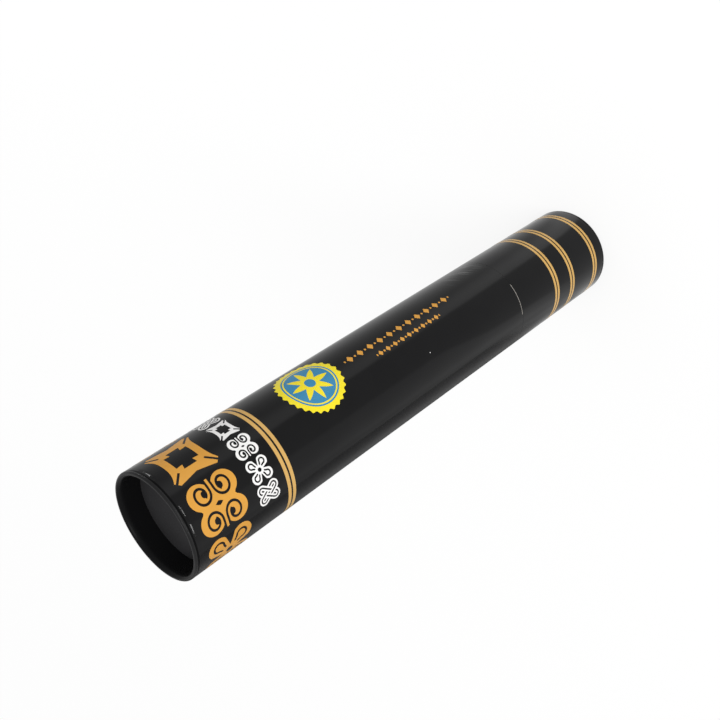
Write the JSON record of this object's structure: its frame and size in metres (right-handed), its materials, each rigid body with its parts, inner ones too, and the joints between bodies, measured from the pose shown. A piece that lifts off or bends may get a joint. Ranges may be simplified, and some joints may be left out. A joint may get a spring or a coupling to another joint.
{
  "type": "diploma tube",
  "caption": "Round board tube with rolled rims and recessed ends, closed by a long lid that slides over the tube's neck, to hold a rolled certificate.",
  "frame": {"origin": "centre of the lid's rolled rim, on the plane that the closed tube stands on", "axes": "+Z along the tube's axis from the lid's rim up to the base of the body; the side shown in the picture faces -Y"},
  "size_m": [0.055, 0.055, 0.3286],
  "materials": {
    "black_wrap": "gloss",
    "end_board": "satin",
    "liner_paper": "satin",
    "gold_print": "gloss",
    "white_print": "gloss",
    "yellow_print": "gloss",
    "blue_print": "gloss"
  },
  "bodies": {
    "lid": {"lid_tube": "black_wrap", "lid_disc": "end_board"},
    "tube": {"body_tube": "black_wrap", "base_disc": "end_board", "neck_liner": "liner_paper"}
  },
  "joints": [
    {"name": "lid_slide", "type": "slide", "parent": "lid", "child": "tube", "axis": [0, 0, 1], "range_m": [0, 0.12]}
  ]
}
